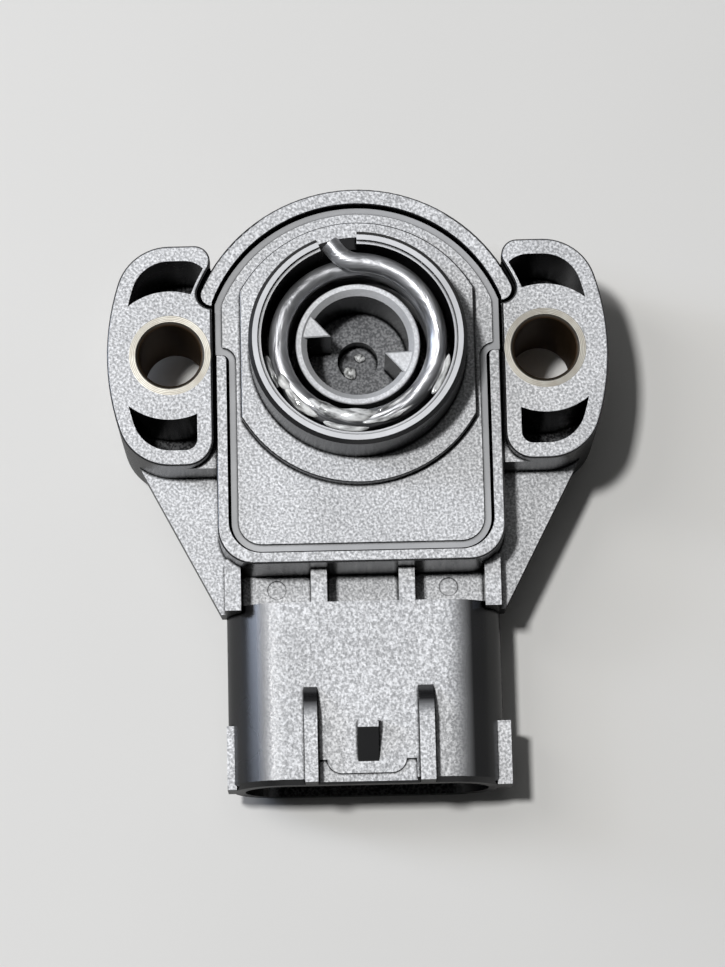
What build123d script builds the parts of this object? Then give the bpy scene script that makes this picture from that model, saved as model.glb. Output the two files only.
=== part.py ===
from build123d import *

import math
import os

# Throttle position sensor: a moulded case with two bolt ears and a three-way connector, a cover with a
# pilot collar, and a sprung rotor that a throttle shaft turns. Millimetres; the origin is on the rotor
# axis in the mounting face, +Z leaves the mounting face, and the connector points to -Y.

# Bolts and ears
hole_spacing = 33.0
sleeve_bore = 5.5
sleeve_od = 7.2
sleeve_lead_in = 0.3
sleeve_land = 0.1
bolt_head_r = 4.4
ear_thickness = 11.4
ear_half_length = 9.95
ear_margin = 5.55
ear_outer_corner = 4.75
ear_inner_corner = 2.4
ear_hook_r = 1.4
ear_gap = 0.25
ear_gap_depth = 0.8
core_wall = 1.38
core_arc_wall = 0.35
core_boss_r = 5.8
core_depth = 8.5

# Case
case_depth = 13.2
rim_drop = 0.5
rim_wall = 0.95
arc_wall = 1.3
arc_bulge = 2.2
arc_corner_r = 1.1
arc_corner_set = 0.05
case_front = 18.7
case_corner_r = 3.2
pocket_corner_r = 2.9
strip_end_r = 0.4
back_wall = 1.2
cover_ledge = 1.3
edge_round = 0.2

# Cover and pilot collar
pilot_od = 19.0
pilot_height = 5.2
pilot_chamfer = 0.35
collar_wall = 1.1
collar_lip = 0.3
notch_lead = 1.1
notch_gap = 1.3
seat_step = 1.1
seat_od = 23.56
seat_width = 20.6
cover_plate = 2.2
joint_gap = 0.25
margin_width = 0.88
margin_sink = 0.25
seat_edge_round = 0.12

# Connector
tie_gap = 3.0
tie_floor = 6.8
tie_rib = 1.4
tie_inner_x = 3.85
tie_lap = 0.6
pin_mark_r = 0.85
pin_mark_x = 7.6
pin_mark_set = 1.25
pin_mark_depth = 0.12
shroud_top = 3.2
shroud_height = 10.0
shroud_width = 24.2
shroud_length = 16.0
shroud_wall = 1.4
shroud_cavity = 12.2
mouth_bevel = 0.45
web_top = 5.3
web_thickness = 2.5
web_reach = 3.1
web_rise = 1.2
web_toe = 0.4
guide_length = 8.5
guide_height = 1.7
guide_ramp = 3.2
guide_left_x = -4.8
guide_left_width = 1.13
guide_right_x = 5.27
guide_right_width = 1.3
latch_x = 0.15
latch_width = 1.8
latch_height = 1.5
latch_flat = 0.8
latch_ramp = 2.8
latch_setback = 1.9
scoop_depth = 0.25
scoop_width = 8.7
scoop_length = 2.1
scoop_pad_gap = 0.9
scoop_corner_r = 1.3
key_length = 5.6
key_depth = 3.0
key_top = 5.9
key_left_reach = 0.1
key_right_reach = 0.6

# Rotor
hub_od = 10.9
hub_sink = 2.6
hub_edge_round = 0.25
socket_bore = 8.9
socket_lead_in = 0.5
socket_depth = 6.4
wedge_sink = 0.15
wedge_bevel = 0.1
wedge_tip_x = 2.3
wedge_tip_y = 0.88
wedge_angle = 50.5
drive_turn = 2.5
pit_r = 1.8
pit_depth = 1.8
flange_gap = 0.5
flange_thickness = 1.4
flange_level = 7.0
bearing_r = 2.2
bearing_fit = 0.05
bearing_wall = 1.4
bearing_top_gap = 0.2
thrust_gap = 0.05
thrust_pad = 0.9
stop_lug_reach = 1.3
stop_lug_angle = 140.0
stop_lug_arc = 10.0
stop_rib_arc = 6.0
stop_rib_rise = 0.5
stop_gap_arc = 1.5
travel = 100.0
tang_slot_gap = 0.2

# Return spring
wire_d = 1.7
coil_turns = 5.0
coil_top_angle = 88.4
coil_rim_gap = 0.2
coil_seat_gap = 0.1
top_bend_r = 2.5
top_bend_turn = 50.0
low_bend_r = 1.5
tang_end_gap = 0.2

# Element board, wiper and terminals
board_thickness = 0.8
board_fit = 0.2
board_hole_gap = 0.4
peg_r = 0.6
peg_fit = 0.05
peg_head = 0.5
peg_edge = 1.8
peg_set = 11.3
wiper_sheet = 0.25
wiper_plate_length = 5.0
wiper_hole_gap = 0.5
wiper_finger_width = 0.7
wiper_finger_pitch = 1.05
wiper_fingers = 4
wiper_finger_run = 4.2
wiper_tip_run = 0.9
wiper_tip_rise = 0.4
wiper_tip_gap = 0.1
stake_r = 0.5
stake_inset = 0.6
stake_head = 0.25
blade_width = 2.3
blade_thickness = 0.64
blade_pitch = 5.0
blade_setback = 3.0
blade_reach = 1.2
blade_bend_r = 0.5
blade_foot = 2.2
blade_tip = 0.6

# How far joined forms run into one another, and how far cuts run past a face
join = 0.5
past = 1.0

# Places worked out from the sizes above
hole_x = hole_spacing / 2
ear_inner_x = hole_x - sleeve_od / 2 - sleeve_land
ear_outer_r = hole_x + ear_margin
ear_gap_floor = -rim_drop - ear_gap_depth
case_half = ear_inner_x - ear_gap
case_arc_r = ear_inner_x + arc_bulge
arc_corner_x = ear_inner_x - arc_corner_set
arc_end_y = math.sqrt((case_arc_r - arc_corner_r) ** 2 - arc_corner_x**2) - arc_corner_r
case_floor = back_wall - case_depth
pocket_half = case_half - rim_wall
pocket_arc_r = case_arc_r - arc_wall
pocket_front = case_front - rim_wall
plate_top = -seat_step
margin_top = plate_top - margin_sink
plate_bottom = plate_top - cover_plate
shroud_half = shroud_width / 2
shroud_rear = -(case_front + tie_gap)
shroud_z = -shroud_top - shroud_height / 2
mouth_y = shroud_rear - shroud_length
cavity_y = mouth_y + shroud_cavity
hub_r = hub_od / 2
hub_top = pilot_height - hub_sink
socket_r = socket_bore / 2
socket_floor = hub_top - socket_depth
flange_r = pocket_half - cover_ledge - flange_gap
flange_top = -flange_level
flange_bottom = flange_top - flange_thickness
stop_r = flange_r + stop_lug_reach
board_top = case_floor + board_thickness
thrust_top = case_floor + thrust_pad
bearing_top = flange_top - bearing_top_gap
pilot_r = pilot_od / 2
collar_r = pilot_r - collar_wall
wire_r = wire_d / 2
coil_r = (hub_r + collar_r) / 2
coil_top = pilot_height - coil_rim_gap - wire_r
coil_bottom = flange_top + coil_seat_gap + wire_r
coil_bottom_angle = coil_top_angle - 360 * coil_turns

# The upper tang leaves the coil at a slant and ends just inside the collar's outer face
top_turn = math.radians(top_bend_turn)
top_edge_x = (top_bend_r - wire_r) * math.sin(top_turn)
top_edge_y = coil_r + top_bend_r - (top_bend_r - wire_r) * math.cos(top_turn)
top_edge_run = top_edge_x * math.cos(top_turn) + top_edge_y * math.sin(top_turn)
top_tang_end_r = pilot_r - tang_end_gap
top_edge_r = math.hypot(top_edge_x, top_edge_y)
top_tang_length = math.sqrt(top_edge_run**2 - top_edge_r**2 + top_tang_end_r**2) - top_edge_run
top_end_x = (top_bend_r + wire_r) * math.sin(top_turn) + top_tang_length * math.cos(top_turn)
top_end_y = (coil_r + top_bend_r - (top_bend_r + wire_r) * math.cos(top_turn)
             + top_tang_length * math.sin(top_turn))
notch_start = coil_top_angle + notch_lead
notch_end = coil_top_angle + math.degrees(math.atan2(top_end_x, top_end_y)) + notch_gap


def slab(outline, bottom, top):
    """A flat outline carried from one height to another."""
    return extrude(Pos(0, 0, bottom) * outline, amount=top - bottom)


def block(x0, x1, y0, y1, z0, z1):
    """A box between two corners."""
    return Pos((x0 + x1) / 2, (y0 + y1) / 2, (z0 + z1) / 2) * Box(x1 - x0, y1 - y0, z1 - z0)


def plan(x0, x1, y0, y1):
    """A rectangle in plan between two corners."""
    return Pos((x0 + x1) / 2, (y0 + y1) / 2) * Rectangle(x1 - x0, y1 - y0)


def sector(inner_r, outer_r, start, end):
    """Part of a ring in plan between two angles less than half a turn apart."""
    reach = 2 * outer_r
    side = reach * math.tan(math.radians((end - start) / 2))
    wedge = make_face(Polyline((0, 0), (reach, -side), (reach, side), close=True))
    return (Circle(outer_r) - Circle(inner_r)) & (Rot(0, 0, (start + end) / 2) * wedge)


def side_profile(points, x0, x1):
    """A closed outline of (y, z) points carried across from x0 to x1."""
    face = make_face(Polyline(*[(x0, y, z) for y, z in points], close=True))
    return extrude(face, amount=x1 - x0, dir=(1, 0, 0))


def both_sides(right):
    """A piece on the right and its mirror image on the left."""
    return right + mirror(right, Plane.YZ)


def round_front(half, front, back, corner_r):
    """A rectangle in plan about the Y axis with its two front corners rounded."""
    outline = plan(-half, half, -front, back)
    return fillet(outline.vertices().sort_by(Axis.Y)[:2], corner_r)


def pocket_outline():
    """Plan of the pocket that takes the cover: round about the rotor axis, narrower below the ears."""
    upper = Circle(pocket_arc_r) & plan(-ear_inner_x, ear_inner_x, 0, pocket_arc_r)
    outline = round_front(pocket_half, pocket_front, 0, pocket_corner_r) + upper
    ends = [v for v in outline.vertices() if abs(v.Y) < join and abs(v.X) < case_half]
    return fillet(ends, strip_end_r)


def rim_arc():
    """Plan of the case's round end between the ears, with its lower corners rounded."""
    arc = Circle(case_arc_r) & plan(-case_arc_r, case_arc_r, arc_end_y, case_arc_r)
    return fillet(arc.vertices(), arc_corner_r)


def case():
    """The case's outside: the rim over a body that is round about the rotor axis."""
    front = round_front(case_half, case_front, arc_end_y, case_corner_r)
    rim = slab(front + rim_arc(), ear_gap_floor, -rim_drop)
    rim = fillet(rim.edges().group_by(Axis.Z)[-1], edge_round)
    return rim + slab(front + Circle(case_arc_r), -case_depth, ear_gap_floor)


def ear_blank(inner_x):
    """Plan of the right ear with square inner corners: its outer side is an arc about the rotor axis."""
    outline = Circle(ear_outer_r) & plan(inner_x, ear_outer_r, -ear_half_length, ear_half_length)
    return fillet(outline.vertices().sort_by(Axis.X)[2:], ear_outer_corner)


def ear_outline():
    """Plan of the right ear, hooked round the case's round end with a gap between them."""
    beside_case = plan(0, ear_inner_x, -ear_half_length, arc_end_y)
    outline = ear_blank(0) - offset(rim_arc(), ear_gap) - beside_case
    outline = fillet(outline.vertices().group_by(Axis.Y)[0].sort_by(Axis.X)[0], ear_inner_corner)
    return fillet(outline.vertices().group_by(Axis.Y)[-1].sort_by(Axis.X)[0], ear_hook_r)


def ear():
    """The right ear, with its root under the gap square to the case at the connector's end."""
    rim = slab(ear_outline(), ear_gap_floor, 0)
    rim = fillet(rim.edges().group_by(Axis.Z)[-1], edge_round)
    outline = ear_blank(ear_inner_x)
    outline = fillet(outline.vertices().group_by(Axis.Y)[-1].sort_by(Axis.X)[0], ear_inner_corner)
    root_end = ear_half_length - ear_inner_corner
    outline += plan(pocket_half, ear_inner_x + join, -ear_half_length, root_end)
    return rim + slab(outline, -ear_thickness, ear_gap_floor)


def ear_cores():
    """The crescents cored out of the right ear, either side of the sleeve's boss."""
    upper = ear_blank(ear_inner_x - core_wall)
    upper = fillet(upper.vertices().group_by(Axis.X)[0], ear_inner_corner + core_wall)
    upper = offset(upper, -core_wall) & plan(0, ear_outer_r, 0, ear_half_length)
    upper -= Circle(case_arc_r + ear_gap + core_arc_wall)
    lower = offset(ear_outline(), -core_wall) & plan(0, ear_outer_r, -ear_half_length, 0)
    boss = Pos(hole_x, 0) * Circle(core_boss_r)
    return slab(upper - boss, -core_depth, past) + slab(lower - boss, -core_depth, past)


def web():
    """The right gusset web, from under the ear to the connector's rear corner."""
    outline = make_face(Polyline(
        (pocket_half, 0), (hole_x, 0), (hole_x + web_reach, web_rise - ear_half_length),
        (shroud_half + web_toe, shroud_rear - tie_lap), (pocket_half, shroud_rear - tie_lap), close=True))
    return slab(outline, -web_top - web_thickness, -web_top)


def stadium(inset=0.0):
    """The connector's section, in plan until it is stood up."""
    return SlotOverall(shroud_width - 2 * inset, shroud_height - 2 * inset)


def along_y(section, y0, y1):
    """A section about the connector's axis carried from y0 back to y1."""
    plane = Plane(origin=(0, y0, shroud_z), x_dir=(1, 0, 0), z_dir=(0, 1, 0))
    return extrude(plane * section, amount=y1 - y0)


def guide(x, width):
    """A guide rail on the connector's top, with a curved ramp at its rear end."""
    base = -shroud_top - join
    top = guide_height - shroud_top
    rear = mouth_y + guide_length
    crest = (x, rear - guide_ramp, top)
    side = make_face(
        Polyline((x, rear, -shroud_top), (x, rear, base), (x, mouth_y, base), (x, mouth_y, top), crest)
        + TangentArc(crest, (x, rear, -shroud_top), tangent=(0, 1, 0)))
    return extrude(side, amount=width / 2, both=True, dir=(1, 0, 0))


def latch():
    """The locking wedge: steep behind, ramped towards the mouth."""
    base = -shroud_top - join
    top = latch_height - shroud_top
    front = mouth_y + latch_setback
    rear = front + latch_ramp + latch_flat
    points = [(front, base), (front, -shroud_top), (front + latch_ramp, top), (rear, top), (rear, base)]
    return side_profile(points, latch_x - latch_width / 2, latch_x + latch_width / 2)


def scoop():
    """The shallow lead-in between the guide rails at the mouth, round a pad left at full height."""
    half = scoop_width / 2
    pad_half = half - scoop_pad_gap
    area = plan(-half, half, mouth_y - past, mouth_y + scoop_length)
    pad = round_front(pad_half, -mouth_y - scoop_pad_gap, mouth_y + scoop_length + past, scoop_corner_r)
    return slab(area - pad, -shroud_top - scoop_depth, -shroud_top + past)


def side_key(side, reach):
    """A keying rib along one side of the connector at the mouth."""
    root = side * (shroud_half - shroud_wall / 2)
    tip = side * (shroud_half + reach)
    bottom = -key_top - key_depth
    return block(min(root, tip), max(root, tip), mouth_y, mouth_y + key_length, bottom, -key_top)


def connector():
    """The shroud with its guide rails, latch, keys and open mouth."""
    shell = along_y(stadium(), mouth_y, shroud_rear)
    shell = chamfer(shell.edges().group_by(Axis.Y)[0], mouth_bevel)
    shell = shell - scoop() + latch() + side_key(-1, key_left_reach) + side_key(1, key_right_reach)
    shell += guide(guide_left_x, guide_left_width) + guide(guide_right_x, guide_right_width)
    return shell - along_y(stadium(shroud_wall), mouth_y - past, cavity_y)


def ties():
    """The floor, with its pin marks, and the four ribs that tie the case to the connector."""
    front = shroud_rear - tie_lap
    rear = rim_wall - case_front
    base = -tie_floor - join
    floor = block(-shroud_half, shroud_half, front, rear, case_floor, -tie_floor)
    for x in (-pin_mark_x, pin_mark_x):
        mark = slab(Circle(pin_mark_r), -tie_floor - pin_mark_depth, past - tie_floor)
        floor -= Pos(x, -case_front - pin_mark_set) * mark
    outer = block(shroud_half - tie_rib, shroud_half, front, rear, base, -shroud_top)
    inner = block(tie_inner_x - tie_rib / 2, tie_inner_x + tie_rib / 2, front, rear, base, -shroud_top)
    return floor + both_sides(outer + inner)


def blade_hole(x):
    """The moulded passage of one blade from the connector into the case."""
    half = blade_width / 2
    rear = -pocket_front + cover_ledge + past
    return block(x - half, x + half, cavity_y - past, rear,
                 shroud_z - blade_thickness / 2, shroud_z + blade_thickness / 2)


def stop_ribs():
    """Two ribs on the case's round wall that end the rotor's travel."""
    reach = stop_lug_arc / 2 + stop_gap_arc
    first = stop_lug_angle + reach
    last = stop_lug_angle - travel - reach
    ends = sector(flange_r + flange_gap, pocket_arc_r, first, first + stop_rib_arc)
    ends += sector(flange_r + flange_gap, pocket_arc_r, last - stop_rib_arc, last)
    ends = ends & offset(pocket_outline(), -cover_ledge / 2)
    return slab(ends, case_floor - join, flange_top + stop_rib_rise)


def peg_places():
    """Plan places of the pegs that hold the board."""
    x = pocket_half - cover_ledge - peg_edge
    return [(-x, -peg_set), (x, -peg_set)]


def make_housing():
    """The moulded case, ears, webs, ties and connector in one piece."""
    body = case() + both_sides(ear() + web()) + ties() + connector()
    body -= both_sides(ear_cores())
    pocket = pocket_outline()
    body -= slab(pocket, plate_bottom, past)
    body -= slab(offset(pocket, -cover_ledge), case_floor, plate_bottom)
    body += stop_ribs()
    body += slab(Circle(bearing_r + bearing_wall), case_floor - join, thrust_top)
    body += slab(Circle(bearing_r), case_floor, bearing_top)
    for x, y in peg_places():
        body += Pos(x, y) * slab(Circle(peg_r), case_floor - join, board_top + peg_head)
    for x in (-blade_pitch, 0, blade_pitch):
        body -= blade_hole(x)
    for x in (-hole_x, hole_x):
        body -= Pos(x, 0) * slab(Circle(sleeve_od / 2), -ear_thickness, past)
        body -= Pos(x, 0) * slab(Circle(bolt_head_r), -case_depth - past, -ear_thickness)
    return body


def make_cover():
    """The cover plate with its raised seat and the pilot collar."""
    pocket = pocket_outline()
    body = slab(offset(pocket, -joint_gap), plate_bottom, margin_top)
    body += slab(offset(pocket, -margin_width), plate_bottom, plate_top)
    outline = Circle(seat_od / 2) & plan(-seat_width / 2, seat_width / 2, -seat_od, seat_od)
    seat = slab(outline, plate_bottom, 0)
    body += fillet(seat.edges().group_by(Axis.Z)[-1], seat_edge_round)
    collar = slab(Circle(pilot_r), plate_bottom, pilot_height)
    body += chamfer(collar.edges().sort_by(Axis.Z)[-1], pilot_chamfer)
    body -= slab(Circle(collar_r), plate_bottom - past, pilot_height + past)
    body -= slab(Circle(collar_r + collar_lip), pilot_height - collar_lip, pilot_height + past)
    notch = sector(collar_r - join, pilot_r + past, notch_start, notch_end)
    return body - slab(notch, coil_top - wire_r - tang_slot_gap, pilot_height + past)


def make_sleeve(x):
    """A metal sleeve with a lead-in at each end of its bore."""
    tube = slab(Circle(sleeve_od / 2) - Circle(sleeve_bore / 2), -ear_thickness, 0)
    rims = tube.edges().filter_by(GeomType.CIRCLE).group_by(SortBy.RADIUS)[0]
    return Pos(x, 0) * chamfer(rims, sleeve_lead_in)


def drive_wedge():
    """One wedge of the drive socket, on the right, with its two free edges bevelled."""
    angle = math.radians(wedge_angle)
    outline = make_face(Polyline(
        (wedge_tip_x, -wedge_tip_y), (wedge_tip_x + hub_od, -wedge_tip_y),
        (wedge_tip_x + hub_od * math.cos(angle), -wedge_tip_y - hub_od * math.sin(angle)), close=True))
    wedge = slab(outline & Circle(socket_r + socket_lead_in), socket_floor - join, hub_top - wedge_sink)
    return chamfer(wedge.edges().group_by(Axis.Z)[-1].filter_by(GeomType.LINE), wedge_bevel)


def make_rotor():
    """The drive hub with its socket, flange, stop lug and lower bearing."""
    body = slab(Circle(hub_r), flange_bottom, hub_top)
    body = fillet(body.edges().group_by(Axis.Z)[-1], hub_edge_round)
    lug_half = stop_lug_arc / 2
    lug = sector(hub_r, stop_r, stop_lug_angle - lug_half, stop_lug_angle + lug_half)
    body += slab(Circle(flange_r), flange_bottom, flange_top) + slab(lug, flange_bottom, flange_top)
    body += slab(Circle(bearing_r + bearing_wall), thrust_top + thrust_gap, flange_bottom)
    body -= slab(Circle(socket_r), socket_floor, hub_top + past)
    mouth = body.edges().filter_by(GeomType.CIRCLE).group_by(Axis.Z)[-1].sort_by(SortBy.RADIUS)[0]
    body = chamfer(mouth, socket_lead_in)
    for turn in (drive_turn, drive_turn + 180):
        body += Rot(0, 0, turn) * drive_wedge()
    body -= slab(Circle(pit_r), socket_floor - pit_depth, socket_floor + past)
    body -= slab(Circle(bearing_r + bearing_fit), thrust_top, bearing_top + bearing_top_gap)
    half = wire_r + tang_slot_gap
    window = plan(coil_r - half, coil_r + half, -low_bend_r - half, 0)
    body -= Rot(0, 0, coil_bottom_angle) * slab(window, flange_bottom - past, flange_top + past)
    for x, y in stake_places():
        body += Pos(x, y) * slab(Circle(stake_r), flange_bottom - wiper_sheet - stake_head, flange_bottom)
    return body


def make_spring():
    """The torsion spring: a coil with one end slanted out into the collar's notch and one bent down."""
    height = coil_top - coil_bottom
    coil = Pos(0, 0, coil_bottom) * Rot(0, 0, coil_bottom_angle) * Helix(height / coil_turns, height, coil_r)
    low = coil.position_at(0)
    high = coil.position_at(1)
    low_length = coil_bottom - low_bend_r - flange_bottom - tang_end_gap
    ends = [(low, -coil.tangent_at(0), Vector(0, 0, -1), low_bend_r, math.pi / 2, low_length),
            (high, coil.tangent_at(1), Vector(high.X, high.Y, 0), top_bend_r, top_turn, top_tang_length)]
    body = sweep(Plane(low, z_dir=coil.tangent_at(0)) * Circle(wire_r), path=coil, is_frenet=True)
    for point, ahead, out, bend_r, turn, length in ends:
        aside = (out - ahead * out.dot(ahead)).normalized()
        bend = [point + ahead * (bend_r * math.sin(a)) + aside * (bend_r * (1 - math.cos(a)))
                for a in (0, turn / 2, turn)]
        heading = ahead * math.cos(turn) + aside * math.sin(turn)
        body += sweep(Plane(point, z_dir=ahead) * Circle(wire_r), path=ThreePointArc(*bend))
        body += extrude(Plane(bend[2], z_dir=heading) * Circle(wire_r), amount=length)
    return body


def make_board():
    """The element board, on the case floor round the rotor's bearing."""
    outline = offset(round_front(pocket_half, pocket_front, 0, pocket_corner_r), -cover_ledge - board_fit)
    outline += Circle(flange_r + flange_gap - board_fit)
    outline -= Circle(bearing_r + bearing_wall + board_hole_gap)
    for x, y in peg_places():
        outline -= Pos(x, y) * Circle(peg_r + peg_fit)
    return slab(outline, case_floor, board_top)


def wiper_span():
    """Inner and outer radius of the wiper's fingers."""
    inner = bearing_r + bearing_wall + board_hole_gap + wiper_hole_gap
    return inner, inner + wiper_finger_pitch * (wiper_fingers - 1) + wiper_finger_width


def stake_places():
    """Plan places of the two stakes that hold the wiper to the rotor."""
    inner, outer = wiper_span()
    x = -wiper_plate_length / 2
    return [(x, -inner - stake_inset), (x, stake_inset - outer)]


def make_wiper():
    """The stamped contact under the rotor's flange, with a row of fingers bent down to the tracks."""
    inner, outer = wiper_span()
    top = flange_bottom
    body = block(-wiper_plate_length, 0, -outer, -inner, top - wiper_sheet, top)
    for x, y in stake_places():
        body -= Pos(x, y) * slab(Circle(stake_r), top - past, top + past)
    low = board_top + wiper_tip_gap
    tip = wiper_finger_run + wiper_tip_run
    tip_low = low + wiper_tip_rise
    for n in range(wiper_fingers):
        y = -inner - n * wiper_finger_pitch
        side = make_face(Polyline(
            (0, y, top), (0, y, top - wiper_sheet), (wiper_finger_run, y, low), (tip, y, tip_low),
            (tip, y, tip_low + wiper_sheet), (wiper_finger_run, y, low + wiper_sheet), close=True))
        body += extrude(side, amount=wiper_finger_width, dir=(0, -1, 0))
    return body


def make_terminal(x):
    """A blade from the connector through the case wall, bent down onto the board."""
    tip = mouth_y + blade_setback
    knee = -pocket_front + cover_ledge + blade_reach
    foot = board_top + blade_thickness / 2
    line = FilletPolyline((x, tip, shroud_z), (x, knee, shroud_z), (x, knee, foot),
                          (x, knee + blade_foot, foot), radius=blade_bend_r)
    plane = Plane((x, tip, shroud_z), x_dir=(1, 0, 0), z_dir=(0, 1, 0))
    body = sweep(plane * Rectangle(blade_width, blade_thickness), path=line)
    nose = body.edges().filter_by(Axis.Z).group_by(Axis.Y)[0]
    return chamfer(nose, blade_tip)


nodes = {
    "housing": make_housing(),
    "cover": make_cover(),
    "mounting_sleeve_left": make_sleeve(-hole_x),
    "mounting_sleeve_right": make_sleeve(hole_x),
    "rotor": make_rotor(),
    "return_spring": make_spring(),
    "element_board": make_board(),
    "wiper_contact": make_wiper(),
    "terminal_left": make_terminal(-blade_pitch),
    "terminal_middle": make_terminal(0),
    "terminal_right": make_terminal(blade_pitch),
}

os.makedirs("parts", exist_ok=True)
for name, body in nodes.items():
    export_step(body, f"parts/{name}.step")
    print(name, len(body.solids()), round(body.volume, 2))
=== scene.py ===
import math

import bmesh
import bpy
from bpy.props import FloatProperty, FloatVectorProperty, IntProperty, PointerProperty
from mathutils import Matrix, Vector, noise


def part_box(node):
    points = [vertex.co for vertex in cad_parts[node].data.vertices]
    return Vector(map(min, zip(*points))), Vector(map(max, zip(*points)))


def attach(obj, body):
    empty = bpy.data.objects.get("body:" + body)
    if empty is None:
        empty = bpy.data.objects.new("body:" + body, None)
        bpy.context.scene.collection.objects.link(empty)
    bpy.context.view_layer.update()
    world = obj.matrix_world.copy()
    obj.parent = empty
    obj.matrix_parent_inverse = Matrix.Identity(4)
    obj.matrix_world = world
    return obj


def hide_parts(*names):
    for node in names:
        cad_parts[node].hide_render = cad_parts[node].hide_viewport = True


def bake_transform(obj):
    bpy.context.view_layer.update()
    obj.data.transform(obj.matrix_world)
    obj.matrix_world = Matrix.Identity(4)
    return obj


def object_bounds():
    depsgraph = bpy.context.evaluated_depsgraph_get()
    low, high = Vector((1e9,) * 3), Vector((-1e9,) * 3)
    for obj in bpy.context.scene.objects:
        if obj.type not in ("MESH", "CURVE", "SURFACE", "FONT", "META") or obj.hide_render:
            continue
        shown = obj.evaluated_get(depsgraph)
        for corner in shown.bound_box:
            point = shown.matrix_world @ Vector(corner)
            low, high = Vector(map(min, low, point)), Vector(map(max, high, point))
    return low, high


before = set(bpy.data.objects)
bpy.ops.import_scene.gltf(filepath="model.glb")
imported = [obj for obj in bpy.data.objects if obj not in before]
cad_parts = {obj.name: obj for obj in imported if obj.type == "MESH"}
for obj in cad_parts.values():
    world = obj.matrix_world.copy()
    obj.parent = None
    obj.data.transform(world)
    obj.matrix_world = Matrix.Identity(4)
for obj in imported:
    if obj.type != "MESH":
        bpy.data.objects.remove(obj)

bl_info = {
    "name": "Throttle position sensor finish",
    "version": (1, 0, 0),
    "blender": (4, 5, 0),
    "location": "3D view > Sidebar > Sensor",
    "description": "Moulded plastic, turned metal, a greased spring and a plain studio",
    "category": "Object",
}

MM = 0.001
CAD_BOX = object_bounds()
IMAGE_WIDTH = 725
IMAGE_HEIGHT = 967
SENSOR_WIDTH_MM = 36.0

CLIP_START = 0.01

STILL_BODY = "sensor_body"
TURNING_BODY = "drive_rotor"

# Lean of a face from square to the rotor axis, in degrees: flat up to the first, a wall from the second;
# flat faces are painted pale as sheen, walls keep the dark plastic
FLAT_LEANS = (8.3, 25.0)
# The case's fade of painted sheen covers the connector's round sides, and ends just short of the latch's
# ramp
CASE_LEANS = (0.0, 28.0)
# The rotor's chamfers count as flat, so they take the painted sheen as well
ROTOR_LEANS = (25.0, 75.0)

# Heights in mm that part one finish from the next: the case's hollows, painted dark as shade, from its open
# faces, the cover's margin from its plate, the plate from the collar and its notch, painted dark as shade,
# the collar from its rim, painted pale as a highlight, and the rotor's socket, painted dark as shade, from
# its ring
HOLLOW_LEVEL = -8.0
MARGIN_LEVEL = -1.2
PLATE_LEVEL = 0.05
RIM_LEVEL = 4.8
RING_LEVEL = 0.0

# Moulded plastic: noise values between which a fleck of painted sparkle appears, openness of a corner
# between which its painted shade ends, shade of the handling patches, and gloss and roughness of a wall and
# of a flat face
FLECK_RANGE = (0.41, 0.63)
CORNER_SHADE_RANGE = (0.62, 0.78)
PATCH_SHADES = (0.85, 1.1)
WALL_GLOSS, FLAT_GLOSS = 0.9, 0.6
WALL_ROUGHNESS, FLAT_ROUGHNESS = 0.2, 0.36
CORNER_SAMPLES = 10

# Tarnish in a sleeve: where it ends, in mm in from the outside, and the width of its stains in mm
BORE_EDGE = (0.8, 0.55)
STAIN_WIDTH = 0.8

# Streaks round the coil: bearing of their seam in degrees, and their shortening as a share of its width
STREAK_SEAM = -60
STREAK_SHARE = 0.12

# Width in mm of a rolling line in strip metal and of a mottle in the floor's paint
ROLLING_LINE = 0.08
FLOOR_MOTTLE = 30
# Distance in metres over which the floor turns into the backdrop
FAR_FLOOR = (0.2, 1.0)

# Lamps: name, place and size in metres, the stage's property that holds the power, and colour
LAMPS = (
    ("key_softbox", (-0.16, 0.02, 0.6), (0.05, 0.05), "key_power", "#ffffff"),
    ("overhead_softbox", (0.0, 0.16, 0.6), (0.3, 0.3), "sheen_power", "#ffffff"),
    ("left_softbox", (-0.37, 0.15, 0.46), (0.15, 0.36), "side_power", "#f6f5f6"),
    ("left_strip_light", (-0.53, 0.14, 0.26), (0.1, 0.3), "strip_power", "#d8e6ff"),
    ("front_softbox", (0.05, -0.6, 0.13), (0.3, 0.3), "front_power", "#ffffff"),
)
ROOM_COLOUR = "#f4f5f7"

# Beads of grease: first and last bearing about the rotor axis in degrees, then distance from the axis,
# height and width in mm
SPRING_BEADS = (
    (187, 209, 8.05, 3.1, 0.75),
    (202, 215, 7.35, 3.5, 0.9),
    (212, 242, 7.5, 3.5, 0.9),
    (230, 286, 6.7, 3.9, 1.1),
    (246, 276, 7.75, 3.45, 0.6),
    (272, 312, 7.35, 3.95, 0.5),
    (284, 322, 6.5, 4.0, 0.45),
    (322, 350, 8.0, 3.85, 0.65),
)
PIT_BEADS = (
    (185, 260, 0.9, -5.5, 1.1),
    (40, 110, 0.8, -5.5, 0.7),
)


def linear(hex_colour):
    """An sRGB hex value as a linear colour with full alpha."""
    values = [int(hex_colour[i:i + 2], 16) / 255 for i in (1, 3, 5)]
    return tuple(v / 12.92 if v <= 0.04045 else ((v + 0.055) / 1.055) ** 2.4 for v in values) + (1.0,)


def mid(node):
    """The middle of a node's box."""
    low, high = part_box(node)
    return (low + high) / 2


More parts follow.
